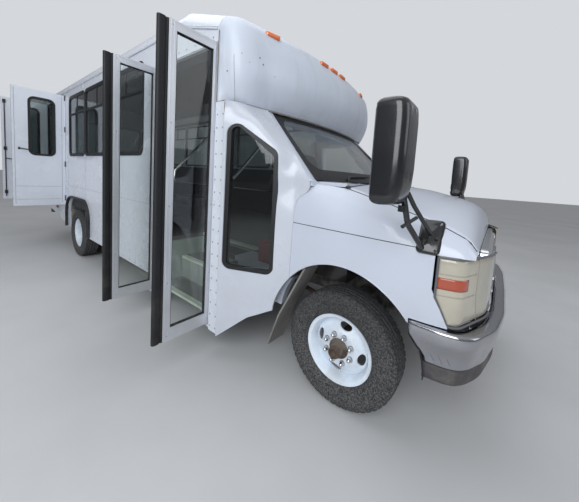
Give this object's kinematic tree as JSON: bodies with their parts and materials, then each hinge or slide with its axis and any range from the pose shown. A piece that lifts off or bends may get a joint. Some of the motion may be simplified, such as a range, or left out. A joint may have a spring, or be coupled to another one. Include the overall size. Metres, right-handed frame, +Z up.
{
  "type": "cutaway shuttle minibus",
  "caption": "White cutaway shuttle minibus with a bulbous front cap, glazed folding entry doors and rear side lift doors standing open.",
  "frame": {"origin": "floor level below the middle of the whole part's bounding box, doors and mirrors included; the front axle is 2.9170 m ahead (+X) and the vehicle's centre plane 0.2625 m to the left (+Y)", "axes": "+X forward along the vehicle, +Y to its left, +Z up; the doors open to -Y"},
  "size_m": [7.446, 3.201, 2.876],
  "materials": {
    "white_paint": "gloss white paint",
    "wheel_paint": "pale grey-white wheel paint",
    "tyre": "dusty tread rubber",
    "black_paint": "black chassis paint",
    "axle_steel": "rusty cast steel",
    "engine_grey": "cast metal",
    "chrome": "chrome plate",
    "grille_grey": "silver grey plastic",
    "lens": "yellowed clear lens",
    "dark_plastic": "black plastic",
    "valance_grey": "dark grey plastic",
    "glass": "clear glass",
    "tinted_glass": "dark tinted glass",
    "trim_grey": "grey moulded trim",
    "seat_cloth": "grey woven seat cloth",
    "moulded_white": "white moulded fibreglass",
    "floor_grey": "grey ribbed floor covering",
    "step_metal": "painted step with pale nosing",
    "rubber": "black rubber",
    "flap_grey": "dusty grey mud flap",
    "door_aluminium": "satin anodised aluminium",
    "stainless": "polished stainless tube",
    "red_lens": "red lamp lens",
    "amber_lens": "amber lamp lens"
  },
  "bodies": {
    "root": {"frame": "black_paint", "front_suspension": "axle_steel", "rear_axle": "axle_steel", "engine": "engine_grey", "fuel_tank": "black_paint", "exhaust": "stainless", "cab_shell": "white_paint", "fenders": "white_paint", "grille": "grille_grey", "headlamps": "lens", "front_bumper": "chrome", "bumper_valance": "valance_grey", "windshield": "glass", "mirrors": "dark_plastic", "dashboard": "trim_grey", "steering_wheel": "dark_plastic", "driver_seat": "seat_cloth", "front_cap": "moulded_white", "filler_panel": "white_paint", "body_floor": "floor_grey", "stepwell": "step_metal", "side_wall_right": "moulded_white", "side_wall_left": "moulded_white", "rear_wall": "moulded_white", "roof": "moulded_white", "body_glass": "tinted_glass", "wheel_flares": "rubber", "mud_flaps": "flap_grey", "rear_bumper": "black_paint", "grab_rails": "stainless", "door_header": "trim_grey", "tail_lamps": "red_lens", "clearance_lamps": "amber_lens"},
    "knuckle_right": {"knuckle_right": "axle_steel"},
    "knuckle_left": {"knuckle_left": "axle_steel"},
    "front_wheel_right": {"wheel_front_right": "wheel_paint", "tyre_front_right": "tyre"},
    "front_wheel_left": {"wheel_front_left": "wheel_paint", "tyre_front_left": "tyre"},
    "rear_wheels_right": {"wheels_rear_right": "wheel_paint", "tyres_rear_right": "tyre"},
    "rear_wheels_left": {"wheels_rear_left": "wheel_paint", "tyres_rear_left": "tyre"},
    "hood": {"hood": "white_paint"},
    "driver_door": {"driver_door": "white_paint", "driver_door_glass": "glass"},
    "entry_door_front": {"entry_leaf_front": "door_aluminium", "entry_glass_front": "glass"},
    "entry_door_rear": {"entry_leaf_rear": "door_aluminium", "entry_glass_rear": "glass"},
    "lift_door_front": {"lift_leaf_front": "moulded_white", "lift_glass_front": "tinted_glass"},
    "lift_door_rear": {"lift_leaf_rear": "moulded_white", "lift_glass_rear": "tinted_glass"}
  },
  "joints": [
    {"name": "steer_left", "type": "hinge", "parent": "root", "child": "knuckle_left", "pos_m": [2.917, 1.0325, 0.372], "axis": [0, 0, 1], "range_deg": [-32, 32]},
    {"name": "steer_right", "type": "hinge", "parent": "root", "child": "knuckle_right", "pos_m": [2.917, -0.5075, 0.372], "axis": [0, 0, 1], "range_deg": [-32, 32]},
    {"name": "roll_front_left", "type": "hinge", "parent": "knuckle_left", "child": "front_wheel_left", "pos_m": [2.917, 1.144, 0.372], "axis": [0, 1, 0], "continuous": true},
    {"name": "roll_front_right", "type": "hinge", "parent": "knuckle_right", "child": "front_wheel_right", "pos_m": [2.917, -0.619, 0.372], "axis": [0, 1, 0], "continuous": true},
    {"name": "roll_rear_left", "type": "hinge", "parent": "root", "child": "rear_wheels_left", "pos_m": [-1.553, 1.2495, 0.372], "axis": [0, 1, 0], "continuous": true},
    {"name": "roll_rear_right", "type": "hinge", "parent": "root", "child": "rear_wheels_right", "pos_m": [-1.553, -0.7245, 0.372], "axis": [0, 1, 0], "continuous": true},
    {"name": "hood_lift", "type": "hinge", "parent": "root", "child": "hood", "pos_m": [2.853, 0.2625, 1.446], "axis": [0, -1, 0], "range_deg": [0, 52]},
    {"name": "driver_door_swing", "type": "hinge", "parent": "root", "child": "driver_door", "pos_m": [2.517, 1.2765, 1], "axis": [0, 0, -1], "range_deg": [0, 68]},
    {"name": "entry_swing_front", "type": "hinge", "parent": "root", "child": "entry_door_front", "pos_m": [1.891, -0.9375, 1.3], "axis": [0, 0, 1], "range_deg": [-90, 0]},
    {"name": "entry_swing_rear", "type": "hinge", "parent": "root", "child": "entry_door_rear", "pos_m": [0.971, -0.9375, 1.3], "axis": [0, 0, 1], "range_deg": [0, 90]},
    {"name": "lift_swing_front", "type": "hinge", "parent": "root", "child": "lift_door_front", "pos_m": [-2.239, -0.9635, 1.5], "axis": [0, 0, 1], "range_deg": [-90, 0]},
    {"name": "lift_swing_rear", "type": "hinge", "parent": "root", "child": "lift_door_rear", "pos_m": [-3.519, -0.9635, 1.5], "axis": [0, 0, 1], "range_deg": [0, 90]}
  ],
  "couplings": [
    {"joint": "steer_right", "follows": "steer_left", "ratio": 1},
    {"joint": "entry_swing_rear", "follows": "entry_swing_front", "ratio": -1}
  ]
}
